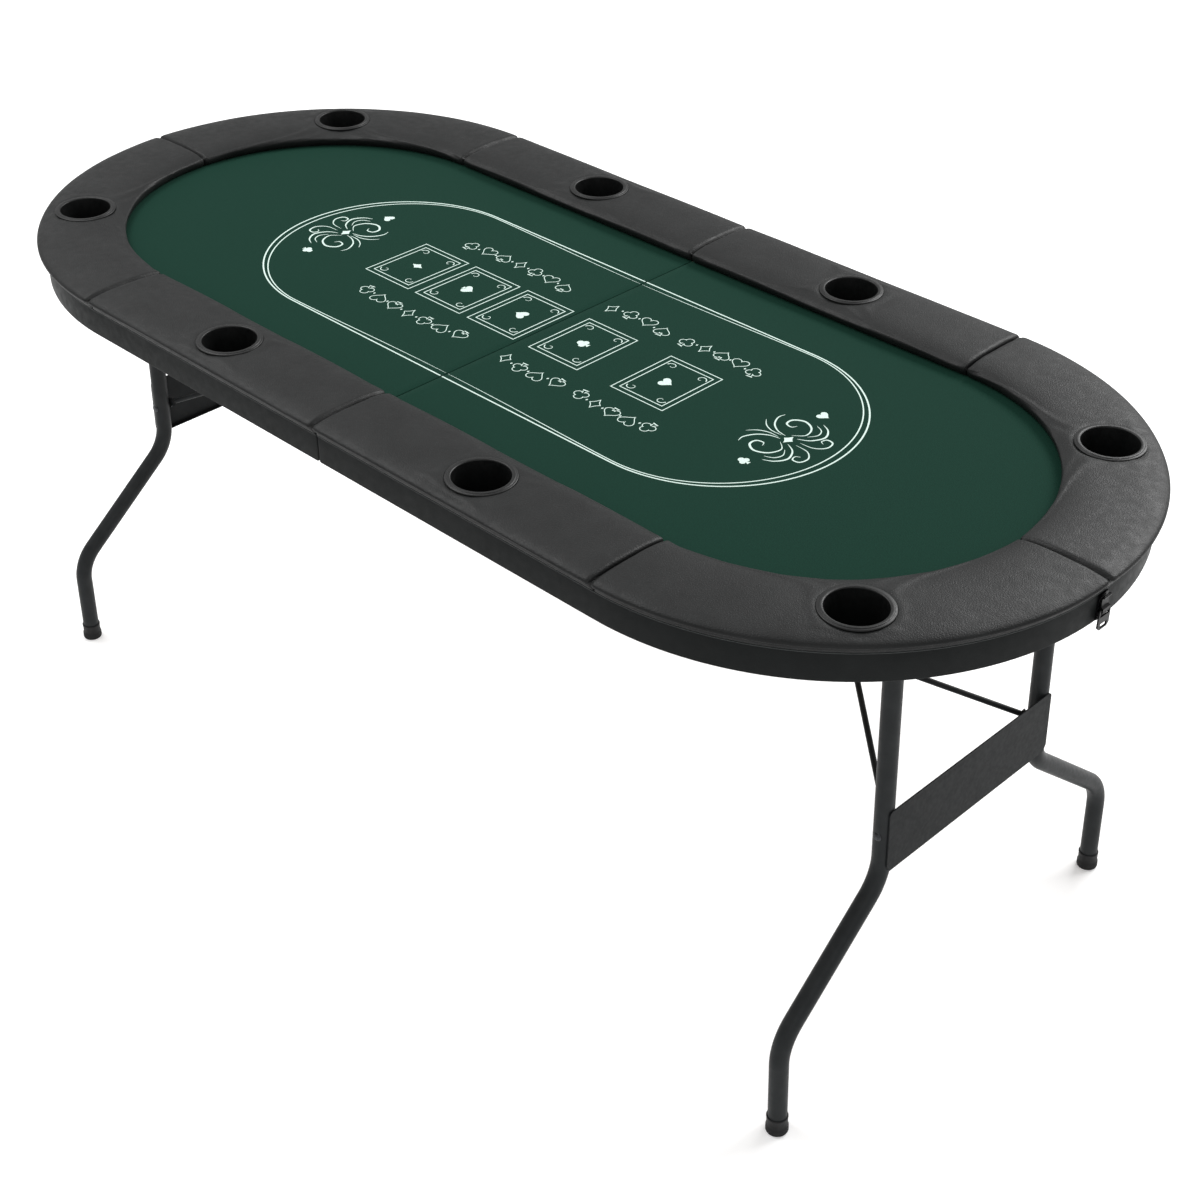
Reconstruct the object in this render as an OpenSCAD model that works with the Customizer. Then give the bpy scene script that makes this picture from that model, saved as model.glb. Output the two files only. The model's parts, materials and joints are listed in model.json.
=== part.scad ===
// Folding poker table: two halves on centre hinges, a padded rail with cup holders,
// a printed playing cloth, and a braced folding leg frame under each half.
// Millimetres. X runs along the table, Y across it, Z up from the floor.
// The right half (+X) is drawn, and the left half is its mirror image.

/* [Table] */
// Length over the padded rail
table_l = 1830; // [1800:5:1860]
// Width over the padded rail
table_w = 838; // [834:1:848]
// Height of the rail above the floor
table_h = 756; // [740:1:775]

/* [Rail and cup holders] */
// Width of the padded rail
rail_w = 130; // [126:1:134]
// Thickness of the padded rail
rail_t = 24; // [22:0.5:27]
// Gap between two pads at a seam
seam_gap = 0.6; // [0.4:0.1:1.2]
// Inside diameter of a cup holder's mouth
cup_bore = 74; // [68:1:75]
// Depth of a cup holder
cup_depth = 56; // [40:1:57]
// Diameter of a cup holder's flange
cup_flange_d = 91; // [86:1:96]
// Distance of the side cup holders from the centre seam
side_cup_x = 250; // [244:1:258]

/* [Top] */
// Thickness of the base board
board_t = 9; // [8:0.5:10]
// Thickness of the foam-backed playing cloth
cloth_t = 2.5; // [1.5:0.5:3]
// Thickness of the rim panel below the rail
panel_t = 10; // [8:0.5:10]
// Height of the rim panel
panel_h = 41; // [40:0.5:44]
// How far the rail stands proud of the rim panel
rail_overhang = 11; // [8:0.5:12]
// Thickness of the cross batten at the centre hinges
batten_t = 18; // [16:1:22]

/* [Legs] */
// Diameter of the leg tube
tube_d = 25.4; // [24:0.2:25.6]
// Wall of the leg tube
tube_wall = 1.2; // [1:0.1:2]
// Outward lean of the legs, in degrees
leg_splay = 2; // [1:0.5:3]
// Distance of the leg pivots from the centre seam
pivot_x = 740; // [738:1:744]
// Distance of the upper leg tubes from the long axis
leg_top_y = 163; // [160:1:166]
// Distance of the feet from the long axis
foot_y = 350; // [346:1:352]
// Radius of the two bends in a leg, on the tube's axis
bend_r = 70; // [60:1:80]
// Angle that each bend turns through
bend_angle = 50; // [48:1:54]
// Length of the straight tube above the first bend
upper_l = 368; // [364:1:372]
// Diameter of a rubber foot cap
cap_d = 30; // [28:0.5:30.5]
// Height of a rubber foot cap
cap_h = 27; // [20:1:34]

/* [Crossbar] */
// Distance from the leg pivot down to the crossbar's top edge
bar_drop = 290; // [286:1:296]
// Height of the pressed crossbar
bar_h = 95; // [80:1:100]
// Distance of the crossbar's ends from the long axis
bar_half = 170; // [168:1:174]
// Thickness of the crossbar's sheet steel
bar_t = 1.6; // [1.2:0.1:1.6]
// Depth of the crossbar's folded lower lip
lip_d = 6.6; // [4:0.2:7]

/* [Braces] */
// Diameter of the brace rods
rod_d = 8; // [6:0.5:8.5]
// Distance of the brace anchors from the centre seam
anchor_x = 50; // [48:1:60]
// Distance from the leg pivot down to the brace bolts
bolt_drop = 331; // [326:1:336]

/* [Hinges] */
// Distance between two centre hinges
hinge_pitch = 250; // [200:5:280]
// Diameter of the hinge pins
hinge_pin_d = 4; // [3:0.2:5]

/* [Latch] */
// Width of the travel latch
latch_w = 18; // [16:1:24]

/* [Hidden] */
$fn = 64;

// Outline: two straight sides of length end_x, closed by a half circle about [end_x, 0]
rail_r = table_w / 2;
end_x = table_l / 2 - rail_r;
panel_r = rail_r - rail_overhang;
board_r = panel_r - panel_t;
cup_y = rail_r - rail_w / 2;
seam_turn = asin(seam_gap / 2 / (rail_r - rail_w));
band_proud = 2;
seat_fit = 0.04;
// Levels, from the rail down
deck_z = table_h - rail_t;
board_z = deck_z - board_t;
skirt_z = deck_z - panel_h;
pivot_z = board_z - 16;
// Centre hinges: each half rolls about its own pin, so the lower edges are rounded about them
half_gap = 0.5;
knuckle_r = 5;
pin_x = half_gap + knuckle_r;
pin_z = skirt_z + knuckle_r;
hinge_rows = [-hinge_pitch, 0, hinge_pitch];
hinge_plate_t = 2;
eye_r = 4.4;
run_fit = 0.06;
// Cup holders
cup_wall = 2;
cup_r = cup_bore / 2 + cup_wall;
cup_fit = 0.4;
flange_t = 3;
// Leg frame, measured along the leg from its pivot
tube_r = tube_d / 2;
leg_l = pivot_z / cos(leg_splay);
bend_side = bend_r * (1 - cos(bend_angle));
slant_l = (foot_y - leg_top_y - 2 * bend_side) / sin(bend_angle);
lower_drop = upper_l + 2 * bend_r * sin(bend_angle) + slant_l * cos(bend_angle);
cap_floor = 5;
bolt_r = 3;
bolt_fit = 0.1;
// Braces: anchor, elbow and leg bolt lie in one line when the leg stands, and again when it is folded
anchor = [anchor_x, pivot_z];
bolt = [pivot_x + bolt_drop * sin(leg_splay), pivot_z - bolt_drop * cos(leg_splay)];
brace_span = norm(bolt - anchor);
link_l = (brace_span + pivot_x - anchor_x - bolt_drop) / 2;
arm_l = brace_span - link_l;
brace_tilt = atan2(anchor.y - bolt.y, bolt.x - anchor.x);
tab_t = 3.8;
tab_r = 8;
tab_w = 12;
link_half = 5;
arm_in_y = link_half + 0.6;
arm_out_y = leg_top_y - tube_r - 0.9;
// Travel latch on the right end, keeper on the left end
latch_x = end_x + panel_r + 0.05;
lever_z = skirt_z + 12;
lever_x = latch_x + 4;

module left() { mirror([1, 0, 0]) children(); }
module near() { mirror([0, 1, 0]) children(); }
module along_y(h) { rotate([90, 0, 0]) linear_extrude(h, center = true) children(); }
module leg_frame() { translate([pivot_x, 0, pivot_z]) rotate([0, -leg_splay, 0]) children(); }
module at_side_cup() { translate([side_cup_x, cup_y, 0]) children(); }
module at_end_cup() { translate([end_x, 0, 0]) rotate([0, 0, 45]) translate([cup_y, 0, 0]) children(); }

// One half of the table top: straight sides and a half circle of radius r
module half_outline(r) {
    translate([half_gap, -r]) square([end_x - half_gap, 2 * r]);
    intersection() {
        translate([end_x, 0]) circle(r, $fn = 180);
        translate([end_x, -r]) square([r, 2 * r]);
    }
}

// Side view of an upright board whose lower corner at the centre seam is rounded about the pin
module rolled_edge(length, top) {
    translate([half_gap, pin_z]) square([length - half_gap, top - pin_z]);
    translate([pin_x, skirt_z]) square([length - pin_x, knuckle_r]);
    translate([pin_x, pin_z]) circle(knuckle_r);
}

module base_board() {
    color("tan") difference() {
        translate([0, 0, board_z]) linear_extrude(board_t) half_outline(board_r);
        cup_holes();
        near() cup_holes();
    }
}

module cup_holes() {
    at_side_cup() cup_hole();
    at_end_cup() cup_hole();
}

module cup_hole() {
    translate([0, 0, board_z - 1]) cylinder(r = cup_r + cup_fit, h = table_h - board_z + 2);
    translate([0, 0, table_h - flange_t]) cylinder(d = cup_flange_d + 1.2, h = flange_t + 1);
}

module playing_cloth() {
    edge = rail_r - rail_w + 2.5;
    color("darkgreen") translate([0, 0, deck_z]) linear_extrude(cloth_t) half_outline(edge);
}

module rim_panel() {
    color("dimgray") {
        for (side = [0, 1]) mirror([0, side, 0])
            translate([0, board_r + panel_t / 2, 0]) along_y(panel_t) rolled_edge(end_x, deck_z);
        translate([end_x, 0, 0]) rotate([0, 0, -90]) rotate_extrude(angle = 180, $fn = 180)
            translate([board_r, skirt_z]) square([panel_t, panel_h]);
    }
}

module hinge_batten() {
    color("burlywood") difference() {
        along_y(2 * board_r) rolled_edge(half_gap + batten_t, board_z);
        for (y = hinge_rows) {
            translate([-1, y - 23, skirt_z - 1]) cube([pin_x + 7, 46, 2 * knuckle_r + 2]);
            translate([pin_x, y - 23, skirt_z - 1]) cube([batten_t - 5.5, 46, 1.6 + hinge_plate_t]);
        }
    }
}

// Section of the padded rail, at its distance from the table's axis: half-round inside, while
// outside the crown overhangs a band that is almost flush with the rim panel
module rail_section() {
    round_r = rail_t / 2;
    crown_r = rail_t * 0.27;
    from = rail_r - rail_w + round_r;
    translate([from, deck_z + seat_fit]) square([panel_r + band_proud - from, rail_t - crown_r]);
    translate([from, table_h - 2 * crown_r]) square([rail_r - crown_r - from, 2 * crown_r]);
    translate([from, table_h - round_r + seat_fit / 2]) circle(round_r - seat_fit / 2);
    translate([rail_r - crown_r, table_h - crown_r]) circle(crown_r);
}

module side_pad() {
    start = half_gap + 0.4;
    color("darkslategray") difference() {
        translate([start, 0, 0]) rotate([90, 0, 90])
            linear_extrude(end_x - seam_gap / 2 - start) rail_section();
        at_side_cup() cup_hole();
    }
}

module end_pad() {
    color("darkslategray") difference() {
        translate([end_x, 0, 0]) rotate([0, 0, seam_turn])
            rotate_extrude(angle = 90 - 2 * seam_turn, $fn = 180) rail_section();
        at_end_cup() cup_hole();
    }
}

module cup() {
    bore_r = cup_bore / 2;
    floor_z = table_h - cup_depth;
    seat_z = table_h - flange_t;
    flange_r = cup_flange_d / 2;
    color("black") rotate_extrude($fn = 96) polygon([
        [0, floor_z - cup_wall], [cup_r - 2, floor_z - cup_wall], [cup_r, floor_z],
        [cup_r, seat_z], [flange_r, seat_z], [flange_r, table_h - 1.6],
        [flange_r - 0.8, table_h - 0.8], [bore_r + 5.4, table_h - 0.8],
        [bore_r + 5, table_h], [bore_r + 1.4, table_h], [bore_r, table_h - 1.2],
        [bore_r - 1, floor_z + 1.5], [bore_r - 2.5, floor_z], [0, floor_z]
    ]);
}

module side_cup() { at_side_cup() cup(); }
module end_cup() { at_end_cup() cup(); }

// Steel straps that carry the pivot tube under the base board
bracket_y = 132;
bracket_w = 24;
bracket_screw_x = 26;
module leg_brackets() {
    color("gray") for (y = [-bracket_y, bracket_y]) difference() {
        translate([pivot_x, y, 0]) along_y(bracket_w) difference() {
            union() {
                translate([0, pivot_z]) circle(15.3);
                translate([-15.3, pivot_z]) square([30.6, board_z - pivot_z]);
                translate([-34, board_z - 3]) square([68, 3]);
            }
            translate([0, pivot_z]) circle(tube_r + 0.08);
        }
        for (x = [-bracket_screw_x, bracket_screw_x])
            translate([pivot_x + x, y, board_z - 4]) cylinder(r = 2.2, h = 5);
    }
}

anchor_screw_x = 17;
ear_y = link_half + 1.1;
ear_t = 3;
module brace_anchor() {
    color("gray") translate([anchor_x, 0, 0]) difference() {
        union() {
            translate([-24, -14, board_z - 3]) cube([48, 28, 3]);
            for (side = [-1, 1]) translate([0, side * (ear_y + ear_t / 2), 0]) along_y(ear_t) {
                translate([0, pivot_z]) circle(9);
                translate([-9, pivot_z]) square([18, board_z - pivot_z - 1]);
            }
        }
        translate([0, 0, pivot_z]) rotate([90, 0, 0]) cylinder(r = bolt_r, h = 60, center = true);
        for (x = [-anchor_screw_x, anchor_screw_x])
            translate([x, 0, board_z - 4]) cylinder(r = 2.2, h = 5);
    }
}

module anchor_pin() {
    head_y = ear_y + ear_t;
    color("silver") translate([anchor_x, 0, pivot_z]) rotate([90, 0, 0]) {
        cylinder(r = bolt_r, h = 2 * head_y, center = true);
        for (side = [0, 1]) mirror([0, 0, side]) translate([0, 0, head_y]) cylinder(r = 5, h = 1.8);
    }
}

module hinge_leaves() {
    leaf_z = skirt_z + 0.6;
    color("gray") for (y = hinge_rows) translate([0, y, 0]) difference() {
        union() {
            translate([pin_x, 0, pin_z]) rotate([90, 0, 0]) cylinder(r = eye_r, h = 23, center = true);
            translate([pin_x, -11.5, leaf_z]) cube([11, 23, hinge_plate_t]);
            translate([pin_x + 5, -22, leaf_z]) cube([batten_t - 11.5, 44, hinge_plate_t]);
        }
        translate([pin_x, 0, pin_z]) rotate([90, 0, 0])
            cylinder(d = hinge_pin_d + 2 * run_fit, h = 30, center = true);
        for (side = [-17, 17]) translate([half_gap + 13.5, side, leaf_z - 1]) cylinder(r = 1.8, h = 5);
    }
}

// A round-headed wood screw driven upwards, its head against z = 0
module wood_screw(head_r, head_t) {
    translate([0, 0, -head_t]) cylinder(r = head_r, h = head_t);
    cylinder(r = 1.7, h = 9);
}

module screws() {
    color("silver") {
        for (x = [-bracket_screw_x, bracket_screw_x], y = [-bracket_y, bracket_y])
            translate([pivot_x + x, y, board_z - 3]) wood_screw(4, 2);
        for (x = [-anchor_screw_x, anchor_screw_x])
            translate([anchor_x + x, 0, board_z - 3]) wood_screw(4, 2);
        for (y = hinge_rows, side = [-17, 17])
            translate([half_gap + 13.5, y + side, skirt_z + 0.6]) wood_screw(3, 0.5);
    }
}

// Two links a hinge, each with an eye at both pins
link_y = 13.5;
link_t = 3;
module hinge_links() {
    color("gray") for (y = hinge_rows, side = [-link_y, link_y])
        translate([0, y + side, pin_z]) along_y(link_t) difference() {
            union() {
                translate([-pin_x, -eye_r]) square([2 * pin_x, 2 * eye_r]);
                for (x = [-pin_x, pin_x]) translate([x, 0]) circle(eye_r);
            }
            for (x = [-pin_x, pin_x]) translate([x, 0]) circle(d = hinge_pin_d);
        }
}

module hinge_pins() {
    reach = link_y + link_t / 2;
    color("silver") for (y = hinge_rows, x = [-pin_x, pin_x])
        translate([x, y, pin_z]) rotate([90, 0, 0]) {
            cylinder(d = hinge_pin_d, h = 2 * reach, center = true);
            for (side = [0, 1]) mirror([0, 0, side]) translate([0, 0, reach]) cylinder(r = 3.2, h = 1);
        }
}

module tube_section() {
    difference() {
        circle(tube_r);
        circle(tube_r - tube_wall);
    }
}

module pivot_tube() {
    color("dimgray") translate([pivot_x, 0, pivot_z]) along_y(2 * (leg_top_y + tube_r)) tube_section();
}

// A leg: straight down from the pivot tube, out through two bends, and down to the foot
module leg() {
    cope = 3;
    bend_top = leg_top_y + bend_side;
    foot_end = leg_l - cap_floor;
    color("dimgray") leg_frame() difference() {
        union() {
            translate([0, leg_top_y, -upper_l]) linear_extrude(upper_l - cope) tube_section();
            translate([0, leg_top_y + bend_r, -upper_l]) rotate([0, 90, 0]) rotate([0, 0, -90])
                rotate_extrude(angle = bend_angle) translate([bend_r, 0]) tube_section();
            translate([0, bend_top, -upper_l - bend_r * sin(bend_angle)]) rotate([bend_angle, 0, 0])
                translate([0, 0, -slant_l]) linear_extrude(slant_l) tube_section();
            translate([0, foot_y - bend_r, -lower_drop]) rotate([0, 90, 0]) rotate([0, 0, 90])
                rotate_extrude(angle = bend_angle) translate([bend_r, 0]) tube_section();
            translate([0, foot_y, -foot_end]) linear_extrude(foot_end - lower_drop) tube_section();
        }
        rotate([90, 0, 0]) cylinder(r = tube_r, h = 3 * leg_top_y, center = true);
        translate([0, leg_top_y, -bolt_drop]) rotate([90, 0, 0])
            cylinder(r = bolt_r + bolt_fit, h = 2 * tube_d, center = true);
    }
}

module foot_caps() {
    grip = tube_r + 0.05;
    cap_r = cap_d / 2;
    color("black") difference() {
        leg_frame() for (y = [-foot_y, foot_y]) translate([0, y, -leg_l]) rotate_extrude() polygon([
            [0, -3], [cap_r, -3], [cap_r, 7], [cap_r - 0.8, 9], [cap_r - 0.8, cap_h],
            [grip, cap_h], [grip, cap_floor], [0, cap_floor]
        ]);
        translate([0, -table_w, -100]) cube([table_l, 2 * table_w, 100]);
    }
}

// Outline of the crossbar's web: rounded upper corners, clipped lower corners
module bar_outline() {
    bottom = -bar_drop - bar_h;
    round_r = 6;
    clip = 9;
    for (side = [-1, 1]) translate([side * (bar_half - round_r), -bar_drop - round_r]) circle(round_r);
    translate([-bar_half + round_r, -bar_drop - round_r]) square([2 * (bar_half - round_r), round_r]);
    polygon([
        [-bar_half, -bar_drop - round_r], [-bar_half, bottom + clip], [-bar_half + clip * 0.6, bottom],
        [bar_half - clip * 0.6, bottom], [bar_half, bottom + clip], [bar_half, -bar_drop - round_r]
    ]);
}

// Pressed plate: its web lies against the outer side of both legs, its lower lip turns in between them
module crossbar() {
    web_x = tube_r + 0.1;
    lip_y = leg_top_y - tube_r - 2;
    color("dimgray") leg_frame() {
        translate([web_x, 0, 0]) rotate([90, 0, 90]) linear_extrude(bar_t) bar_outline();
        translate([web_x - lip_d, -lip_y, -bar_drop - bar_h]) cube([lip_d + bar_t / 2, 2 * lip_y, bar_t]);
    }
}

module leg_bolts() {
    outside = leg_top_y + tube_r;
    nut_y = arm_out_y - tab_t - 0.2;
    color("silver") leg_frame() for (side = [0, 1]) mirror([0, side, 0])
        translate([0, 0, -bolt_drop]) rotate([-90, 0, 0]) {
            translate([0, 0, nut_y - 4]) cylinder(r = bolt_r, h = outside - nut_y + 4);
            translate([0, 0, outside]) cylinder(r1 = 4.7, r2 = 3.4, h = 2.2);
            translate([0, 0, nut_y - 4]) cylinder(r = 5.8, h = 4, $fn = 6);
        }
}

// Brace arm, drawn along +X from the leg bolt to the elbow: two flat eyes and a slanting rod
module brace_arm() {
    rod_from = [tab_w, arm_out_y - rod_d / 2];
    rod_to = [arm_l - tab_w, arm_in_y + rod_d / 2];
    run = rod_to - rod_from;
    color("dimgray") translate([bolt.x, 0, bolt.y]) rotate([0, 180 + brace_tilt, 0]) difference() {
        union() {
            for (eye = [[0, arm_out_y - tab_t, 1], [arm_l, arm_in_y, -1]])
                translate([eye.x, eye.y + tab_t / 2, 0]) along_y(tab_t) {
                    circle(tab_r);
                    translate([eye.z < 0 ? -tab_w - 4 : 0, -tab_w / 2]) square([tab_w + 4, tab_w]);
                }
            translate([rod_from.x, rod_from.y, 0]) rotate([0, 0, atan2(run.y, run.x)])
                rotate([0, 90, 0]) cylinder(d = rod_d, h = norm(run));
        }
        translate([0, arm_out_y, 0]) rotate([90, 0, 0])
            cylinder(r = bolt_r + run_fit, h = 20, center = true);
        translate([arm_l, arm_in_y, 0]) rotate([90, 0, 0]) cylinder(r = bolt_r, h = 20, center = true);
    }
}

// The elbow's rivets stay in the arms and stop short of the link
module elbow_rivets() {
    head_y = arm_in_y + tab_t;
    color("silver") translate([bolt.x, 0, bolt.y]) rotate([0, 180 + brace_tilt, 0])
        for (side = [0, 1]) mirror([0, side, 0]) translate([arm_l, arm_in_y, 0]) rotate([-90, 0, 0]) {
            cylinder(r = bolt_r, h = tab_t);
            translate([0, 0, tab_t]) cylinder(r1 = 4.8, r2 = 3.4, h = 2);
        }
}

module brace_link() {
    color("dimgray") translate([anchor.x, 0, anchor.y]) rotate([0, brace_tilt, 0]) difference() {
        union() {
            for (x = [0, link_l]) translate([x, 0, 0]) along_y(2 * link_half) circle(tab_r);
            rotate([0, 90, 0]) cylinder(d = rod_d, h = link_l);
        }
        for (x = [0, link_l]) translate([x, 0, 0]) rotate([90, 0, 0])
            cylinder(r = bolt_r + run_fit, h = 30, center = true);
    }
}

// Travel latch: base plate with two ears, a lever, and a hasp that hangs from the lever
ear_out = latch_w / 2;
module latch_base() {
    color("black") difference() {
        union() {
            translate([latch_x, -ear_out, skirt_z + 3]) cube([2, latch_w, 34]);
            for (side = [0, 1]) mirror([0, side, 0]) translate([0, ear_out - 0.75, 0]) along_y(1.5) {
                translate([lever_x, lever_z]) circle(2.6);
                translate([latch_x + 1, lever_z - 2.6]) square([lever_x - latch_x - 1, 5.2]);
            }
        }
        translate([lever_x, 0, lever_z]) rotate([90, 0, 0])
            cylinder(r = 1.2, h = 2 * latch_w, center = true);
    }
}

hasp_r = 1.1;
hasp_drop = 26;
hasp_x = lever_x + 1.9;
hasp_z = lever_z + 5.5;
catch_w = 12;
module latch_lever() {
    wide = latch_w - 4;
    color("black") difference() {
        union() {
            translate([lever_x, 0, lever_z]) rotate([90, 0, 0]) {
                cylinder(r = 1.8, h = wide, center = true);
                cylinder(r = 1.14, h = latch_w, center = true);
            }
            along_y(wide) polygon([
                [lever_x - 1.5, lever_z], [lever_x + 2.2, lever_z], [lever_x + 3.9, lever_z + 3.5],
                [lever_x + 3.9, lever_z + 7.5], [lever_x + 1, lever_z + 10],
                [lever_x + 1, lever_z + 20], [lever_x + 2.4, lever_z + 22],
                [lever_x + 1, lever_z + 23.6], [lever_x - 0.8, lever_z + 21], [lever_x - 0.8, lever_z + 4]
            ]);
            translate([lever_x + 2.3, 0, lever_z + 23.2]) rotate([90, 0, 0])
                cylinder(r = 1.7, h = wide, center = true);
        }
        translate([hasp_x, 0, hasp_z]) rotate([90, 0, 0])
            cylinder(r = hasp_r + run_fit, h = latch_w, center = true);
    }
}

// The hasp hangs from a cross pin in the lever: two side straps and a plate with a window,
// whose lower bar drops into the keeper's hook
module latch_hasp() {
    arm_y = ear_out + 1.4;
    plate_top = 9;
    window_top = 18.9;
    plate_h = hasp_drop + hasp_r - plate_top;
    clip = 4;
    color("black") translate([hasp_x, 0, hasp_z]) difference() {
        union() {
            rotate([90, 0, 0]) cylinder(r = hasp_r, h = 2 * arm_y, center = true);
            for (y = [-arm_y, arm_y]) {
                translate([0, y, 0]) sphere(hasp_r);
                translate([-hasp_r, y - hasp_r, -plate_top - 1]) cube([2 * hasp_r, 2 * hasp_r, plate_top + 1]);
            }
            translate([-hasp_r, 0, 0]) rotate([90, 0, 90]) linear_extrude(2 * hasp_r) polygon([
                [-arm_y - hasp_r, -plate_top], [-arm_y - hasp_r, -plate_top - plate_h + clip],
                [-arm_y - hasp_r + clip, -plate_top - plate_h], [arm_y + hasp_r - clip, -plate_top - plate_h],
                [arm_y + hasp_r, -plate_top - plate_h + clip], [arm_y + hasp_r, -plate_top]
            ]);
        }
        translate([-2 * hasp_r, -catch_w / 2 - 0.6, -hasp_drop + hasp_r])
            cube([4 * hasp_r, catch_w + 1.2, hasp_drop - hasp_r - window_top]);
    }
}

// When the halves are closed, the hasp's lower bar lies at catch_z in the keeper's hook
module latch_keeper() {
    catch_z = 2 * skirt_z - hasp_z + hasp_drop - 2 * half_gap;
    color("black") {
        along_y(catch_w) polygon([
            [latch_x + 1, catch_z - 4.8], [latch_x + 5, catch_z - 1.8], [latch_x + 5, catch_z + 5.2],
            [latch_x + 3.8, catch_z + 5.2], [latch_x + 3.8, catch_z - 0.4], [latch_x + 1, catch_z - 2.2]
        ]);
        translate([latch_x, -ear_out, catch_z - 5.5]) cube([1.5, latch_w, 24]);
    }
}

left() base_board();  // left_base_board
left() playing_cloth();  // left_playing_cloth
left() rim_panel();  // left_rim_panel
left() hinge_batten();  // left_hinge_batten
left() near() side_pad();  // left_pad_side_near
left() side_pad();  // left_pad_side_far
left() near() end_pad();  // left_pad_end_near
left() end_pad();  // left_pad_end_far
left() near() side_cup();  // left_cup_side_near
left() side_cup();  // left_cup_side_far
left() near() end_cup();  // left_cup_end_near
left() end_cup();  // left_cup_end_far
left() leg_brackets();  // left_leg_brackets
left() brace_anchor();  // left_brace_anchor
left() anchor_pin();  // left_anchor_pin
left() hinge_leaves();  // left_hinge_leaves
left() screws();  // left_screws
base_board();  // right_base_board
playing_cloth();  // right_playing_cloth
rim_panel();  // right_rim_panel
hinge_batten();  // right_hinge_batten
near() side_pad();  // right_pad_side_near
side_pad();  // right_pad_side_far
near() end_pad();  // right_pad_end_near
end_pad();  // right_pad_end_far
near() side_cup();  // right_cup_side_near
side_cup();  // right_cup_side_far
near() end_cup();  // right_cup_end_near
end_cup();  // right_cup_end_far
leg_brackets();  // right_leg_brackets
brace_anchor();  // right_brace_anchor
anchor_pin();  // right_anchor_pin
hinge_leaves();  // right_hinge_leaves
screws();  // right_screws
hinge_links();
hinge_pins();
left() pivot_tube();  // left_pivot_tube
left() near() leg();  // left_leg_near
left() leg();  // left_leg_far
left() crossbar();  // left_crossbar
left() foot_caps();  // left_foot_caps
left() leg_bolts();  // left_leg_bolts
pivot_tube();  // right_pivot_tube
near() leg();  // right_leg_near
leg();  // right_leg_far
crossbar();  // right_crossbar
foot_caps();  // right_foot_caps
leg_bolts();  // right_leg_bolts
left() near() brace_arm();  // left_brace_arm_near
left() brace_arm();  // left_brace_arm_far
left() elbow_rivets();  // left_elbow_rivets
left() brace_link();  // left_brace_link
near() brace_arm();  // right_brace_arm_near
brace_arm();  // right_brace_arm_far
elbow_rivets();  // right_elbow_rivets
brace_link();  // right_brace_link
latch_base();
latch_lever();
latch_hasp();
left() latch_keeper();
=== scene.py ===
# %% [markdown]
# # A folding poker table
# The real table is two half tops on centre hinges, each with a steel leg frame that folds under it.
# Wood, steel and joints are already designed as a fixed frame, which this lesson loads. What it adds is
# what hands and eyes meet: padded rail, cup holders, printed cloth, skins, paint and small hardware.
# Everything is in metres, with X along the table, Y across it and Z up from the floor.

# %% Load the frame
import json
import math

import bmesh
import bpy
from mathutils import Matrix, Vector, noise


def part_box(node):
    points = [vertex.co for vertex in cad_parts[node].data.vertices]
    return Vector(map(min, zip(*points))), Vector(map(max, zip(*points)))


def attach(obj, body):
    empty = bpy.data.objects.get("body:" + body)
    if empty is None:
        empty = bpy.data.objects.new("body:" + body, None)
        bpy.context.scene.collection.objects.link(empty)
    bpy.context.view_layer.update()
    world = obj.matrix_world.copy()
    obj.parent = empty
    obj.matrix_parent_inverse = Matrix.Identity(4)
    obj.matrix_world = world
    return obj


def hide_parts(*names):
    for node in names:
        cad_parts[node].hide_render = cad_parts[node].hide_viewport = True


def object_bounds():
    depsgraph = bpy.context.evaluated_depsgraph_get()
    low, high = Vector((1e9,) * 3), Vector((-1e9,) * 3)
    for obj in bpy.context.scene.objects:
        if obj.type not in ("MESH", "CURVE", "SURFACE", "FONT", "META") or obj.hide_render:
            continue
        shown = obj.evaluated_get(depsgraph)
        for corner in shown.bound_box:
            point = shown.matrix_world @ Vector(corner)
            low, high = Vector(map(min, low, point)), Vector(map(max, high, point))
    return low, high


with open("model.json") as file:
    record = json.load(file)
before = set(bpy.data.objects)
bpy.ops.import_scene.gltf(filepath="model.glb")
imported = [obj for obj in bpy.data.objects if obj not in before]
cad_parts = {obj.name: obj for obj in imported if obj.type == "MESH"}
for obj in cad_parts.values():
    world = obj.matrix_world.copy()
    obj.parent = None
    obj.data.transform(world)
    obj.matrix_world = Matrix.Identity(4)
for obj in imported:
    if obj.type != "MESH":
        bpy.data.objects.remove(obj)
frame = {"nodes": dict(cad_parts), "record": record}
cad_low, cad_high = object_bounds()
nodes = frame["nodes"]
print("nodes loaded:", len(nodes))

# %% [markdown]
# ## Sizes
# A skin has to fit the board it is stretched over, so no size is guessed: each is read off the frame.
# The plan of the table is two straight sides closed by half circles, so two numbers describe it:
# the rail's outer radius and the distance from the centre seam to the middle of the half circle.

# %% Read the sizes off the frame
MM = 0.001
rail_r = cad_high.y
end_x = cad_high.x - rail_r
crown_z = cad_high.z
pad_low, pad_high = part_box("right_pad_side_far")
rail_in = pad_low.y
panel_low, panel_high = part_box("right_rim_panel")
panel_r, skirt_z, half_gap = panel_high.y, panel_low.z, panel_low.x
board_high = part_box("right_base_board")[1]
board_r, deck_z = board_high.y, board_high.z
rail_w, rail_t = rail_r - rail_in, crown_z - deck_z
cloth_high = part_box("right_playing_cloth")[1]
cup_low, cup_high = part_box("right_cup_side_far")
cup_x, cup_y = (cup_low.x + cup_high.x) / 2, (cup_low.y + cup_high.y) / 2
flange_r = (cup_high.x - cup_low.x) / 2
SIDES = {"right": 1, "left": -1}
EDGES = {"far": 1, "near": -1}
CORNERS = [(side, edge, (SIDES[side], EDGES[edge])) for side in SIDES for edge in EDGES]
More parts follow.
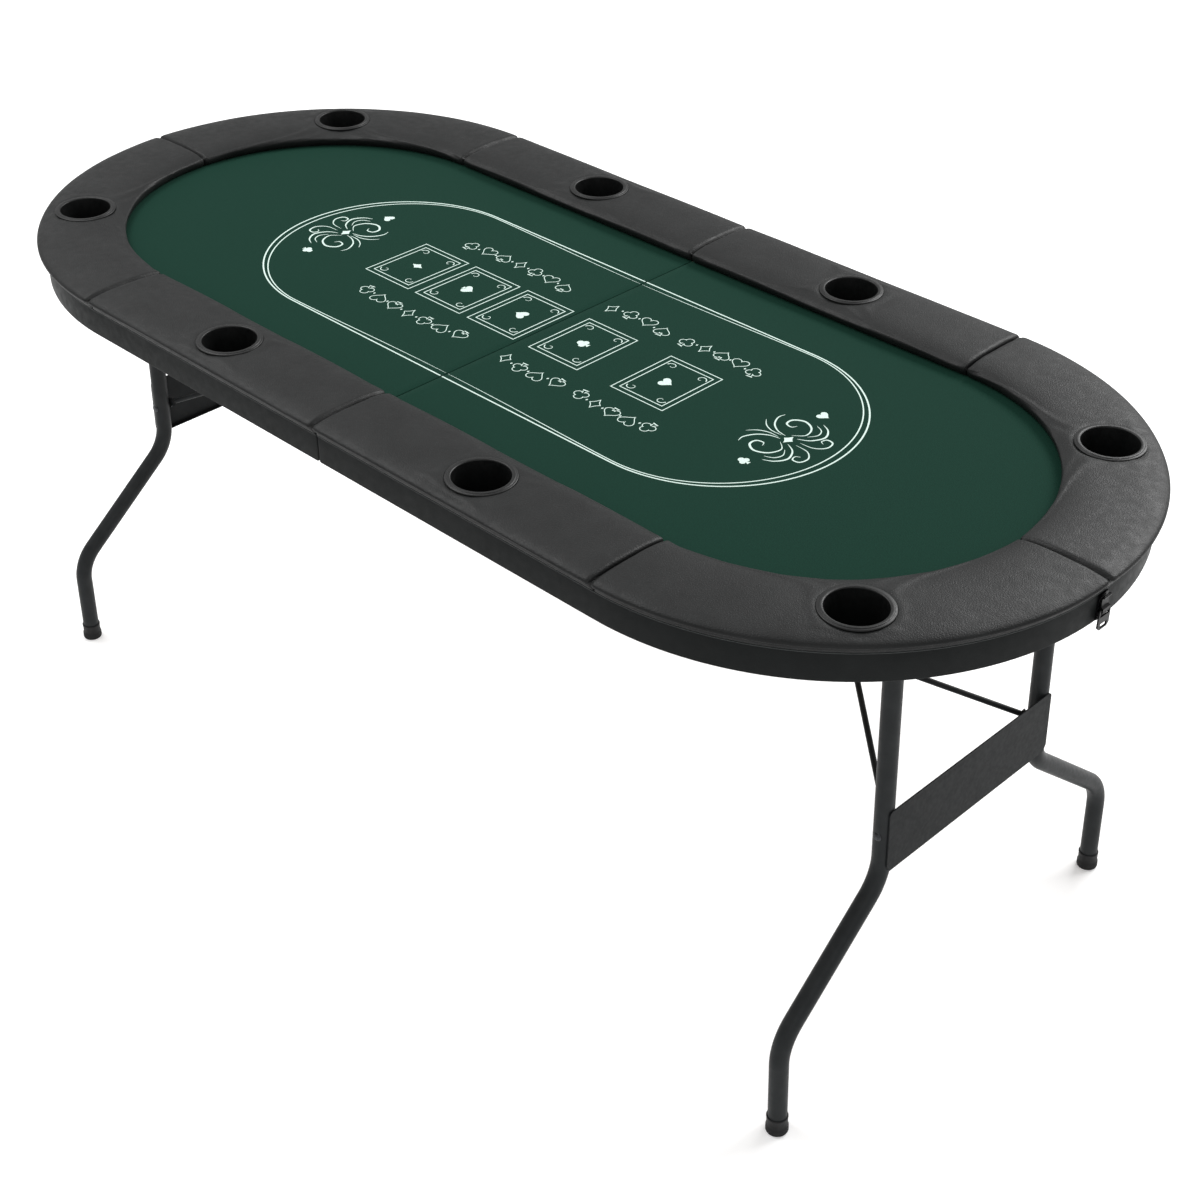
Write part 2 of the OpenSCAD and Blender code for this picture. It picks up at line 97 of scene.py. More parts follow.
print(f"rail {rail_w / MM:.0f} mm wide and {rail_t / MM:.0f} thick, end circle at x {end_x / MM:.0f}")

# %% [markdown]
# ## Three workshop helpers
# Most pieces come from lists of points and faces, which `loose` turns into an object. `make_piece` puts it
# on the part it moves with, and mirrors it for the other side of the table. A mirrored face looks
# inside out, so its corners are listed the other way round. `settle` fixes modifiers into the mesh.

# %% Make a piece, settle a piece
CREASE = math.radians(38)


def loose(name, points, faces):
    mesh = bpy.data.meshes.new(name)
    mesh.from_pydata(points, [], faces)
    thing = bpy.data.objects.new(name, mesh)
    bpy.context.scene.collection.objects.link(thing)
    return thing


def make_piece(name, mesh_parts, finish, body, slot, mirror, crease=CREASE):
    points, faces = mesh_parts
    across, along = mirror
    if across * along < 0:
        faces = [tuple(reversed(f)) for f in faces]
    piece = loose(name, [(across * x, along * y, z) for x, y, z in points], faces)
    piece.data.shade_smooth()
    piece.data.set_sharp_from_angle(angle=crease)
    piece.data.materials.append(finish)
    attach(piece, body)
    return piece


def settle(piece):
    graph = bpy.context.evaluated_depsgraph_get()
    done = bpy.data.meshes.new_from_object(piece.evaluated_get(graph))
    piece.modifiers.clear()
    piece.data = done


# %% [markdown]
# Rings of points make most shapes of this table. A turned shape is one outline carried round an axis,
# and a swept shape is one outline carried along a path. Both end as a net of rings joined by quads,
# so one function joins rings, and it can close them round the ring and cap the two ends.

# %% Join rings into a net
def net(rings, closed_ring=True, closed_path=False, caps=False):
    count = len(rings[0])
    points = [p for ring in rings for p in ring]
    faces = []
    for i in range(len(rings) if closed_path else len(rings) - 1):
        here, there = i * count, (i + 1) % len(rings) * count
        for k in range(count if closed_ring else count - 1):
            n = (k + 1) % count
            faces.append((here + k, here + n, there + n, there + k))
    if caps:
        last = (len(rings) - 1) * count
        faces.append(tuple(reversed(range(count))))
        faces.append(tuple(last + k for k in range(count)))
    return points, faces


def join(*parts):
    points, faces = [], []
    for more_points, more_faces in parts:
        start = len(points)
        points += more_points
        faces += [tuple(start + k for k in face) for face in more_faces]
    return points, faces


def circle(radius, steps, x=0.0, y=0.0):
    turns = [math.tau * i / steps for i in range(steps)]
    return [(x + radius * math.cos(a), y + radius * math.sin(a)) for a in turns]


def turned(outline, steps, place):
    """Pairs of (radius, height) carried round an axis. place(x, y, h) gives a point in the table's frame."""
    rings = [[place(r * c, r * s, h) for r, h in outline] for c, s in circle(1, steps)]
    return net(rings, closed_ring=False, closed_path=True)


print("faces between two rings of 8 points:", len(net([[(0, 0, 0)] * 8] * 2)[1]))

# %% [markdown]
# ## Finishes
# Every finish is a small recipe: a base colour that is never quite even, a roughness that drifts, and a
# fine relief. The relief is computed from the position in metres, so a grain of two millimetres stays two
# millimetres on every piece. Textures painted by hand would need unwrapped pieces; this way needs none.

# %% The steps of a recipe
def linear(shade):
    return tuple((c / 255 / 12.92) if c <= 10 else ((c / 255 + 0.055) / 1.055) ** 2.4 for c in shade)


class Recipe:
    def __init__(self, name, rough, metal=0.0, **sockets):
        self.finish = bpy.data.materials.new(name)
        self.finish.use_nodes = True
        self.tree = self.finish.node_tree
        self.shader = self.tree.nodes["Principled BSDF"]
        self.shader.inputs["Roughness"].default_value = rough
        self.shader.inputs["Metallic"].default_value = metal
        for socket, value in sockets.items():
            self.shader.inputs[socket.replace("_", " ")].default_value = value
        self.place = self.add("ShaderNodeTexCoord").outputs["Object"]
        self.relief = None

    def add(self, kind, **settings):
        node = self.tree.nodes.new(kind)
        for key, value in settings.items():
            if hasattr(node, key):
                setattr(node, key, value)
            else:
                node.inputs[key].default_value = value
        return node

    def link(self, source, target):
        self.tree.links.new(source, target)

    def stretch(self, factors):
        node = self.add("ShaderNodeMapping")
        node.inputs["Scale"].default_value = factors
        self.link(self.place, node.inputs["Vector"])
        return node.outputs["Vector"]

    def cloud(self, size, detail=3, place=None):
        node = self.add("ShaderNodeTexNoise", Scale=1 / size, Detail=detail)
        self.link(place or self.place, node.inputs["Vector"])
        return node.outputs["Fac"]

    def cells(self, size):
        node = self.add("ShaderNodeTexVoronoi", feature="SMOOTH_F1", Scale=1 / size)
        self.link(self.place, node.inputs["Vector"])
        return node.outputs["Distance"]

    def between(self, value, low, high, start=0.3, stop=0.7):
        node = self.add("ShaderNodeMapRange")
        for socket, number in zip(("From Min", "From Max", "To Min", "To Max"), (start, stop, low, high)):
            node.inputs[socket].default_value = number
        self.link(value, node.inputs["Value"])
        return node.outputs["Result"]

    def colour(self, value, dark, light, start=0.3, stop=0.7):
        ramp = self.add("ShaderNodeValToRGB")
        first, last = ramp.color_ramp.elements
        first.position, last.position = start, stop
        first.color, last.color = (*linear(dark), 1), (*linear(light), 1)
        self.link(value, ramp.inputs["Fac"])
        self.link(ramp.outputs["Color"], self.shader.inputs["Base Color"])

    def rough(self, value, low, high):
        self.link(self.between(value, low, high), self.shader.inputs["Roughness"])

    def raised(self, value, depth, strength=1.0):
        bump = self.add("ShaderNodeBump", Distance=depth, Strength=strength)
        self.link(value, bump.inputs["Height"])
        if self.relief:
            self.link(self.relief, bump.inputs["Normal"])
        self.relief = bump.outputs["Normal"]
        self.link(self.relief, self.shader.inputs["Normal"])


print("a middle grey of 128 is", round(linear((128,))[0], 3), "in linear light")

# %% [markdown]
# The rail and the rim panel are covered in PU leather. Its pebble grain is a field of rounded cells, and a
# slow cloud under it stands for the foam behind the skin. The rim panel has a tighter, flatter grain.

# %% Leather skins
def leather(name, dark, light, pebble, depth, rough, shine):
    skin = Recipe(name, rough, Specular_IOR_Level=shine)
    skin.colour(skin.cloud(0.05), dark, light)
    skin.rough(skin.cloud(0.012, 4), rough - 0.05, rough + 0.08)
    skin.raised(skin.cloud(0.03, 2), 0.6 * MM, 0.5)
    skin.raised(skin.cells(pebble), -depth)
    skin.raised(skin.cells(pebble * 0.43), -depth * 0.35)
    return skin.finish


rail_leather = leather("rail_leather", (19, 20, 20), (26, 27, 27), 1.6 * MM, 0.30 * MM, 0.44, 0.2)
rim_leather = leather("rim_leather", (21, 23, 23), (25, 27, 27), 1.3 * MM, 0.10 * MM, 0.5, 0.08)
print("skins:", rail_leather.name, rim_leather.name)

# %% [markdown]
# The playing cloth is a short-napped, printed speed cloth. Nap scatters light at grazing angles, which is
# what the sheen of the shader does. The weave is two sets of fine waves, crossed. The ink lies on top
# of the nap, so it gets its own finish, broken up a little where the nap shows through.

# %% Cloth and ink
def woven(name, dark, light, thread, sheen):
    cloth = Recipe(name, 0.93, Sheen_Weight=sheen, Sheen_Roughness=0.45, Specular_IOR_Level=0.12)
    cloth.shader.inputs["Sheen Tint"].default_value = (*linear((96, 150, 128)), 1)
    cloth.colour(cloth.cloud(0.0016, 4), dark, light, 0.25, 0.75)
    cloth.raised(cloth.cloud(0.14, 3), 1.2 * MM, 0.35)
    two_threads = 1 / thread / 6.3
    for direction in ("X", "Y"):
        wave = cloth.add("ShaderNodeTexWave", bands_direction=direction, Scale=two_threads, Distortion=0.6)
        cloth.link(cloth.place, wave.inputs["Vector"])
        cloth.raised(wave.outputs["Fac"], 0.10 * MM, 0.5)
    cloth.raised(cloth.cloud(0.0009, 3), 0.2 * MM, 0.6)
    return cloth.finish


playing_cloth = woven("playing_cloth", (6, 37, 28), (12, 49, 38), 1.1 * MM, 0.06)
ink = Recipe("cloth_ink", 0.8, Specular_IOR_Level=0.2)
ink.colour(ink.cloud(0.0012, 4), (158, 186, 174), (216, 232, 225), 0.3, 0.62)
ink.raised(ink.cloud(0.0009, 3), 0.15 * MM, 0.6)
print("cloth:", playing_cloth.name, ink.finish.name)


# %% [markdown]
# Metal parts are either painted or plated. Powder paint dries to a faint orange peel and gathers shine on
# edges; zinc plate is brighter, with a brushed drift. Plastic, rubber and board follow the same recipe
# with other numbers: what tells them apart to the eye is mostly roughness and the size of the relief.

# %% Paint, plating, plastic, rubber and board
def painted(name, dark, light, rough, shine):
    paint = Recipe(name, rough, Specular_IOR_Level=shine)
    paint.colour(paint.cloud(0.02, 4), dark, light)
    paint.rough(paint.cloud(0.006, 4), rough - 0.05, rough + 0.07)
    paint.raised(paint.cloud(0.0022, 2), 0.10 * MM, 0.35)
    return paint.finish


def plated(name, dark, light, rough):
    plate = Recipe(name, rough, metal=1.0)
    plate.colour(plate.cloud(0.008, 4), dark, light)
    plate.rough(plate.cloud(0.003, 4, plate.stretch((1, 8, 1))), rough - 0.08, rough + 0.12)
    plate.raised(plate.cloud(0.0006, 3), 0.05 * MM, 0.5)
    return plate.finish


def moulded(name, dark, light, rough, peel, depth):
    part = Recipe(name, rough, Specular_IOR_Level=0.3)
    part.colour(part.cloud(0.01, 3), dark, light)
    part.rough(part.cloud(0.005, 3), rough - 0.04, rough + 0.08)
    part.raised(part.cloud(peel, 3), depth, 0.6)
    return part.finish


leg_paint = painted("leg_paint", (32, 34, 35), (39, 41, 42), 0.42, 0.12)
# The crossbar's paint is the leg paint made darker: painted shade on the flat crossbar, not a different
# paint.
bar_paint_painted_shade = painted("bar_paint_painted_shade", (20, 22, 23), (26, 28, 29), 0.46, 0.08)
latch_paint = painted("latch_paint", (3, 3, 4), (5, 5, 6), 0.3, 0.16)
zinc = plated("zinc_plate", (150, 152, 155), (196, 198, 200), 0.34)
dark_zinc = plated("dark_zinc", (52, 53, 55), (82, 84, 86), 0.38)
cup_plastic = moulded("cup_plastic", (8, 9, 9), (13, 14, 14), 0.4, 0.0011, 0.06 * MM)
rubber = moulded("foot_rubber", (12, 12, 13), (19, 19, 20), 0.6, 0.0014, 0.12 * MM)
# The welt is a cord of the rim's own skin; its much lighter colour is a painted highlight for the light line
# under the rail.
welt_painted_highlight = moulded("welt_painted_highlight", (40, 43, 43), (54, 57, 57), 0.5, 0.0010, 0.1 * MM)

board = Recipe("fibreboard", 0.78, Specular_IOR_Level=0.25)
board.colour(board.cloud(0.0028, 5, board.stretch((1, 1.6, 1))), (84, 68, 52), (136, 114, 92), 0.3, 0.7)
board.raised(board.cloud(0.0018, 5), 0.15 * MM, 0.6)
board = board.finish
print("finishes made:", len(bpy.data.materials))

# %% [markdown]
# ## The padded rail
# The rail is eight foam pads, wrapped in leather and stapled under the board. A pad's section is a soft
# crown: it rounds down to the cloth on the inside, and on the outside it overhangs a crease and a narrow
# band. The whole section is drawn once, from arcs and one flattened ellipse, so every pad shares it.
# Points are given as (distance out from the rail's inner edge, height above the board).

# %% The rail's section
ROUND = rail_t / 2
BAND_OUT = rail_w - (rail_r - panel_r) + 2 * MM
CREASE_UP = 11 * MM
BULGE_UP = 14 * MM
CROWN_STEPS = 30
FLAT_STEPS = 8


def rail_section():
    section = []
    foot_out = BAND_OUT - 3 * MM
    for i in range(7):
        a = math.radians(90 - 15 * i)
        section.append((ROUND - ROUND * math.cos(a), ROUND - ROUND * math.sin(a)))
    for i in range(1, CROWN_STEPS):
        a = math.pi * (1 - i / CROWN_STEPS)
        foot = ROUND if a > math.pi / 2 else BULGE_UP
        lift = math.sin(a) ** 0.7
        reach = math.copysign(abs(math.cos(a)) ** 0.76, math.cos(a))
        section.append((rail_w / 2 + rail_w / 2 * reach, foot + (rail_t - foot) * lift))
    tuck = rail_w - BAND_OUT - 0.6 * MM
    for i in range(6):
        a = math.radians(18 * i)
        up = BULGE_UP - (BULGE_UP - CREASE_UP) * math.sin(a)
        section.append((rail_w - tuck + tuck * math.cos(a), up))
    for i in range(6):
        a = math.radians(36 * i)
        section.append((BAND_OUT + 1.2 * MM * math.sin(a) - 0.3 * MM, CREASE_UP * (1 - i / 5.4) - 0.4 * MM))
    for i in range(FLAT_STEPS):
        section.append((foot_out + (ROUND - foot_out) * i / FLAT_STEPS, 0))
    return section


section = rail_section()
print("points round the section:", len(section))

# %% [markdown]
# Where two pads meet, each one's end turns down in a tight round, and together they make the crisp dark
# crease of the rail. The turn-down is the whole section drawn in towards its own inside, so the function
# below finds which way is inwards at each point.

# %% Turn the pad's ends down
END_ROUND = 6.5 * MM


def inward(section):
    found = []
    for i, (u, h) in enumerate(section):
        (u0, h0), (u1, h1) = section[i - 1], section[(i + 1) % len(section)]
        along = Vector((u1 - u0, h1 - h0)).normalized()
        grip = min(1.0, h / (7 * MM))
        found.append((along.y * grip, -along.x * grip))
    return found


def pad_stations(length, spacing):
    """Distances along the pad, close together where its ends turn down."""
    turn = [END_ROUND * (1 - math.cos(math.radians(a))) for a in (0, 18, 36, 54, 72, 90)]
    inner = length - 2 * END_ROUND
    count = max(2, round(inner / spacing))
    middle = [END_ROUND + inner * i / count for i in range(1, count)]
    return turn + middle + [length - d for d in reversed(turn)]


def pad_rings(length, spacing, stand):
    """stand(distance along, distance out, height) gives a point in the table's own frame."""
    pull = inward(section)
    rings = []
    for s in pad_stations(length, spacing):
        d = min(s, length - s, END_ROUND)
        drawn = END_ROUND - math.sqrt(max(0, END_ROUND ** 2 - (END_ROUND - d) ** 2))
        rings.append([stand(s, u + iu * drawn, h + ih * drawn) for (u, h), (iu, ih) in zip(section, pull)])
    return net(rings, caps=True)


print("stations along a 300 mm pad:", len(pad_stations(0.3, 5 * MM)))

# %% [markdown]
# There are two patterns: a straight pad for the long side and a curved pad for a quarter of the end.
# The other six pads are these two, mirrored.

# %% The two pad patterns
side_gap = pad_low.x
end_gap = end_x - pad_high.x
seam_turn = math.asin(end_gap / rail_in)
quarter = math.pi / 2 - 2 * seam_turn
middle_r = rail_in + rail_w / 2


def stand_straight(s, out, up):
    return (side_gap + s, rail_in + out, deck_z + up)


def stand_curved(s, out, up):
    a = seam_turn + s / middle_r
    return (end_x + (rail_in + out) * math.sin(a), (rail_in + out) * math.cos(a), deck_z + up)


PAD_SPACING = 5 * MM
patterns = {
    "side": (pad_rings(pad_high.x - side_gap, PAD_SPACING, stand_straight), (cup_x, cup_y)),
    "end": (
        pad_rings(quarter * middle_r, PAD_SPACING, stand_curved),
        (end_x + cup_y * math.sin(math.pi / 4), cup_y * math.cos(math.pi / 4)),
    ),
}
for kind, ((points, faces), cup) in patterns.items():
    print(kind, "pad:", len(points), "points, cup holder at", [round(c, 3) for c in cup])

# %% [markdown]
# Foam pushes a skin outwards until the staples, the seams and the cup holder stop it. A cloth simulation
# does the same: the underside and a disc round the cup are held, pressure puffs the rest, and the
# skin settles into its own crown. The move is capped, so a pad can't outgrow the rail.

# %% Puff a pad
PUFF_FRAMES = 14
PUFF_CAP = 1.6 * MM
HELD_ROUND_CUP = 5 * MM


def puff(mesh_parts, cup):
    points, faces = mesh_parts
    pattern = loose("pattern", points, faces)
    near_cup = flange_r + HELD_ROUND_CUP
    held = [i for i, (x, y, z) in enumerate(points)
            if z < deck_z + CREASE_UP or math.hypot(x - cup[0], y - cup[1]) < near_cup]
    pattern.vertex_groups.new(name="held").add(held, 1.0, "REPLACE")
    cloth = pattern.modifiers.new("Puff", "CLOTH")
    cloth.settings.vertex_group_mass = "held"
    cloth.settings.use_pressure = True
    cloth.settings.uniform_pressure_force = 4
    cloth.settings.tension_stiffness = 30
    cloth.settings.compression_stiffness = 30
    cloth.settings.effector_weights.gravity = 0
    for number in range(1, PUFF_FRAMES + 1):
        bpy.context.scene.frame_set(number)
    graph = bpy.context.evaluated_depsgraph_get()
    puffed = pattern.evaluated_get(graph).to_mesh()
    moved = []
    for point, vertex in zip(points, puffed.vertices):
        step = vertex.co - Vector(point)
        step *= min(1.0, PUFF_CAP / max(step.length, 1e-9))
        moved.append(tuple(Vector(point) + step))
    largest = max((Vector(a) - Vector(b)).length for a, b in zip(points, moved))
    bpy.data.objects.remove(pattern)
    bpy.context.scene.frame_set(1)
    print(f"puffed {largest / MM:.1f} mm at most")
    return moved, faces


patterns = {kind: (puff(mesh_parts, cup), cup) for kind, (mesh_parts, cup) in patterns.items()}

# %% [markdown]
# A real skin is never perfectly even. Each pad gets a slow wave from the foam, fine puckers that
# die out a few centimetres from a seam, and a shallow dish where the cup holder's flange presses it down.
# The noise is a fixed function of place, so it is the same at every run but different on every pad.

# %% Wave, pucker and dish
WAVE = 0.45 * MM
PUCKER = 0.55 * MM
DISH = 1.9 * MM


def seam_distance(x, y):
    if x < end_x:
        return min(x - side_gap, end_x - x)
    a = math.atan2(x - end_x, y)
    return min(a, math.pi / 2 - a) * math.hypot(x - end_x, y)


def weathered(point, cup, seed):
    x, y, z = point
    up = (z - deck_z) / rail_t
    if up < 0.55:
        return point
    give = min(1.0, (up - 0.55) / 0.3)
    wave = noise.noise(Vector((x * 17 + seed * 7.3, y * 17, seed * 3.1))) * WAVE
    near_seam = max(0.0, seam_distance(x, y))
    fade = math.exp(-near_seam / (11 * MM))
    folds = noise.noise(Vector((x * 45 + seed * 5.1, y * 45, 4.0))) + 0.6 * noise.noise(
        Vector((x * 120, y * 120, seed * 2.0)))
    from_cup = math.hypot(x - cup[0], y - cup[1]) - flange_r
    dish = math.exp(-max(0.0, from_cup) / (7 * MM)) * DISH
    pull = noise.noise(Vector((math.atan2(y - cup[1], x - cup[0]) * 3.5, seed, 1.0)))
    dish *= 1 + 0.25 * pull
    z += give * (wave - 0.4 * WAVE + folds * fade * PUCKER - dish)
    return (x, y, min(z, crown_z))


print(f"a point of the crown beside a flange sinks {DISH / MM:.1f} mm")

# %% [markdown]
# The hole for the cup holder is cut last, with a stepped cutter: narrow where the bowl goes through the
# board, wider at the top where the flange is let into the foam. Cutting a finished pad gives a true
# circle; a hole woven into the net of quads would need its own rings round it.

# %% Cut and place the eight pads
HOLE_FIT = 0.5 * MM
FLANGE_DEEP = 3 * MM


def cutter(x, y):
    wide, narrow = flange_r + HOLE_FIT, flange_r - 6 * MM
    levels = [(narrow, deck_z - 0.01), (narrow, crown_z - FLANGE_DEEP), (wide, crown_z - FLANGE_DEEP),
              (wide, crown_z + 0.01)]
    rings = [[(px, py, z) for px, py in circle(r, 128, x, y)] for r, z in levels]
    return loose("cutter", *net(rings, caps=True))


def finer(mesh_parts):
    """The same pad with one round of subdivision, so that its curves are smooth up close."""
    coarse = loose("finer", *mesh_parts)
    coarse.modifiers.new("Finer", "SUBSURF").levels = 1
    settle(coarse)
    fine = [tuple(v.co) for v in coarse.data.vertices], [tuple(p.vertices) for p in coarse.data.polygons]
    bpy.data.objects.remove(coarse)
    return fine


def place_pads():
    seed = 0
    for kind, (mesh_parts, cup) in patterns.items():
        points, faces = finer(mesh_parts)
        for side, edge, mirror in CORNERS:
            seed += 1
            skin = [weathered(p, cup, seed) for p in points]
            pad = make_piece(f"{side}_{kind}_pad_{edge}", (skin, faces), rail_leather, f"{side}_half",
                             "rail_leather", mirror)
            tool = cutter(mirror[0] * cup[0], mirror[1] * cup[1])
            cut = pad.modifiers.new("Cup", "BOOLEAN")
            cut.object, cut.solver = tool, "EXACT"
            settle(pad)
            pad.data.set_sharp_from_angle(angle=CREASE)
            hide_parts(f"{side}_pad_{kind}_{edge}")
            bpy.data.objects.remove(tool)
    return seed


print("pads placed:", place_pads())

# %% [markdown]
# ## Cup holders
# Each is one moulding: a flat flange that lies on the pad, a small step round the mouth, and a bowl that
# narrows a little so that it leaves its mould. A turned outline is the right tool. Its corners are
# short rounds and not sharp edges, since those rounds are what catch the light.

# %% Eight cup holders
bore = 37 * MM


def cup_outline():
    base, top = cup_low.z, crown_z
    seat = top - FLANGE_DEEP
    flange_top = top - 0.8 * MM
    wall = bore + 2 * MM
    return [
        (0, base), (wall - 4 * MM, base), (wall - 1.2 * MM, base + 0.8 * MM), (wall, base + 3 * MM),
        (wall, seat), (flange_r - 0.6 * MM, seat), (flange_r, seat + 0.6 * MM),
        (flange_r, flange_top - 1.2 * MM), (flange_r - 0.35 * MM, flange_top - 0.35 * MM),
        (flange_r - 1.2 * MM, flange_top), (bore + 5.6 * MM, flange_top),
        (bore + 5.3 * MM, flange_top + 0.15 * MM), (bore + 5 * MM, top - 0.15 * MM), (bore + 4.6 * MM, top),
        (bore + 1.8 * MM, top), (bore + 0.8 * MM, top - 0.3 * MM), (bore + 0.15 * MM, top - 1 * MM),
        (bore, top - 2 * MM), (bore - 0.9 * MM, base + 9 * MM), (bore - 1.3 * MM, base + 6 * MM),
        (bore - 2.6 * MM, base + 3.4 * MM), (bore - 5 * MM, base + 2.1 * MM), (bore - 9 * MM, base + 2 * MM),
        (bore - 9.6 * MM, base + 2.5 * MM), (bore - 11 * MM, base + 2.5 * MM),
        (bore - 11.6 * MM, base + 2 * MM), (0, base + 2 * MM),
    ]


for kind, (_, cup) in patterns.items():
    shape = turned(cup_outline(), 112, lambda x, y, z: (cup[0] + x, cup[1] + y, z))
    for side, edge, mirror in CORNERS:
        holder = make_piece(f"{side}_{kind}_cup_{edge}", shape, cup_plastic, f"{side}_half", "cup_plastic",
                            mirror, math.radians(50))
        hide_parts(f"{side}_cup_{kind}_{edge}")
print("cup holders of", len(cup_outline()), "rings, mouth", round(2 * bore / MM), "mm")

# %% [markdown]
# ## Rim panels
# Under the rail runs an upright panel of board, bent round the end and covered in thin leather. The skin
# is turned in at the bottom. Under the rail runs a narrow cord of the same skin, coloured far lighter as a
# painted highlight, so it shows as a light line. The panel is swept: its section is carried along one
# straight side, round the end, and back along the other.
# The lowest corner at the centre is cut away in a round, because the two halves roll on each other there.

# %% Sweep a section round half the table
PIN_X = 5.5 * MM
ROLL = 5 * MM
END_TURN = 1.6 * MM


def half_path(start, steps_straight=16, steps_round=96):
    """Stations round the half table: a point on the long axis, and the direction outwards."""
    bases = [start + END_TURN * (1 - math.cos(math.radians(a))) for a in (0, 22, 45, 67)]
    bases += [start + END_TURN + (end_x - start - END_TURN) * (i / steps_straight) ** 2
              for i in range(steps_straight + 1)]
    stations = [(base, (0.0, -1.0)) for base in bases]
    for i in range(1, steps_round):
        a = math.pi * i / steps_round
        stations.append((end_x, (math.sin(a), -math.cos(a))))
    stations += [(base, (0.0, 1.0)) for base in reversed(bases)]
    return stations


def swept(outline, start):
    rings = []
    for base, (nx, ny) in half_path(start):
        to_end = min(base - start, END_TURN)
        drawn = END_TURN - math.sqrt(END_TURN ** 2 - (END_TURN - to_end) ** 2)
        ring = []
        for r, z in outline:
            r -= drawn if r > panel_r - 3 * MM else 0
            x, y = base + r * nx, r * ny
            if x < PIN_X:
                z = max(z, skirt_z + ROLL - math.sqrt(max(0.0, ROLL ** 2 - (PIN_X - x) ** 2)))
            ring.append((x, y, z))
        rings.append(ring)
    return net(rings, caps=True)


print("stations round half the table:", len(half_path(half_gap)))


# %% Two rim panels with their turned-in hem
def panel_outline():
    inside = board_r + 0.2 * MM
    hem = 1.6 * MM
    outline = [(inside, deck_z - 0.3 * MM), (inside, skirt_z + hem)]
    for i in range(1, 6):
        a = math.radians(180 + 15 * i)
        outline.append((inside + hem + hem * math.cos(a), skirt_z + hem + hem * math.sin(a)))
    for i in range(6):
        a = math.radians(270 + 18 * i)
        outline.append((panel_r - hem + hem * math.cos(a), skirt_z + hem + hem * math.sin(a)))
    outline += [(panel_r - 0.15 * MM, (skirt_z + deck_z) / 2), (panel_r, deck_z - 2.2 * MM),
                (panel_r - 0.4 * MM, deck_z - 0.3 * MM)]
    return outline


def welt_outline():
    return circle(0.75 * MM, 8, panel_r + 0.5 * MM, deck_z - 1.0 * MM)


for side, across in SIDES.items():
    panel = make_piece(f"{side}_rim_skin", swept(panel_outline(), half_gap), rim_leather, f"{side}_half",
                       "rim_skin", (across, 1))
    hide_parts(f"{side}_rim_panel")
    # The welt's light colour is painted highlight, not a different skin.
    make_piece(f"{side}_welt", swept(welt_outline(), half_gap + 0.6 * MM), welt_painted_highlight, f"{side}_half",
               "rim_skin", (across, 1))
print("rim panels from", round(skirt_z, 3), "to", round(deck_z, 3), "m")

# %% [markdown]
# ## Playing cloth
# The cloth is one piece for each half, glued to thin foam on the board and stretched flat under the pads,
# with its edge turned down at the centre. The net below has rows that run out to the curved edge, so
# it covers the half circle without any narrow corner.

# %% Two stretched cloths
CLOTH_EDGE = 1.2 * MM
UNDER_PADS = 6.5 * MM
cloth_r = rail_in + UNDER_PADS
cloth_z = cloth_high.z - 0.3 * MM


def cloth_net(rows=72, columns=60):
    rings = []
    for i in range(rows + 1):
        y = cloth_r * math.sin(math.pi * (i / rows - 0.5))
        far = end_x + math.sqrt(max(0.0, cloth_r ** 2 - y ** 2))
        row = [(half_gap, y, cloth_z - 2 * MM), (half_gap, y, cloth_z - CLOTH_EDGE),
               (half_gap + 0.35 * CLOTH_EDGE, y, cloth_z - 0.35 * CLOTH_EDGE)]
        first = half_gap + CLOTH_EDGE
        row += [(first + (far - first) * k / columns, y, cloth_z) for k in range(columns + 1)]
        rings.append(row)
    return net(rings, closed_ring=False)


points, faces = cloth_net()
face_up = [tuple(reversed(f)) for f in faces]
for side, across in SIDES.items():
    cloth = make_piece(f"{side}_cloth", (points, face_up), playing_cloth, f"{side}_half", "cloth",
                       (across, 1))
    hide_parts(f"{side}_playing_cloth")

# %% [markdown]
# ## The print
# The ink is a film two tenths of a millimetre thick. It is made as real, very thin ribbons and stamps:
# they stay crisp at any distance, where a painted picture would blur. A ribbon follows a line of
# points and may swell and taper on the way, as the printed hairlines do.

# %% Ribbons and stamps
INK_UP = 0.2 * MM
MITRE = 2.2
SHOULDER = 0.86
ink_z = cloth_z + 0.02 * MM


def ribbon(line, widths, closed=False):
    count = len(line)
    if isinstance(widths, float):
        widths = [widths] * count
    rings = []
    for i, (x, y) in enumerate(line):
        before = line[i - 1] if closed or i else line[0]
        after = line[(i + 1) % count] if closed or i < count - 1 else line[-1]
        along = Vector((after[0] - before[0], after[1] - before[1])).normalized()
        leaving = Vector((after[0] - x, after[1] - y))
        mitre = min(MITRE, 1 / max(0.2, along.dot(leaving.normalized()))) if leaving.length else 1
        ax, ay = -along.y * widths[i] / 2 * mitre, along.x * widths[i] / 2 * mitre
        bx, by = ax * SHOULDER, ay * SHOULDER
        rings.append([(x - ax, y - ay, ink_z), (x - bx, y - by, ink_z + INK_UP),
                      (x + bx, y + by, ink_z + INK_UP), (x + ax, y + ay, ink_z)])
    return net(rings, closed_ring=False, closed_path=closed)


def tapered(corners, widest, steps=12):
    """A brush stroke: a smooth curve through a few corners, swelling in the middle."""
    ends = [corners[0]] + list(corners) + [corners[-1]]
    line = []
    for (ax, ay), (bx, by), (cx, cy), (dx, dy) in zip(ends, ends[1:], ends[2:], ends[3:]):
        for i in range(steps):
            t = i / steps
            q = (-t + 2 * t * t - t ** 3) / 2, (2 - 5 * t * t + 3 * t ** 3) / 2
            r = (t + 4 * t * t - 3 * t ** 3) / 2, (t ** 3 - t * t) / 2
            line.append((q[0] * ax + q[1] * bx + r[0] * cx + r[1] * dx,
                         q[0] * ay + q[1] * by + r[0] * cy + r[1] * dy))
    line.append(tuple(corners[-1]))
    last = len(line) - 1
    return ribbon(line, [0.3 * MM + widest * math.sin(math.pi * i / last) ** 0.8 for i in range(last + 1)])


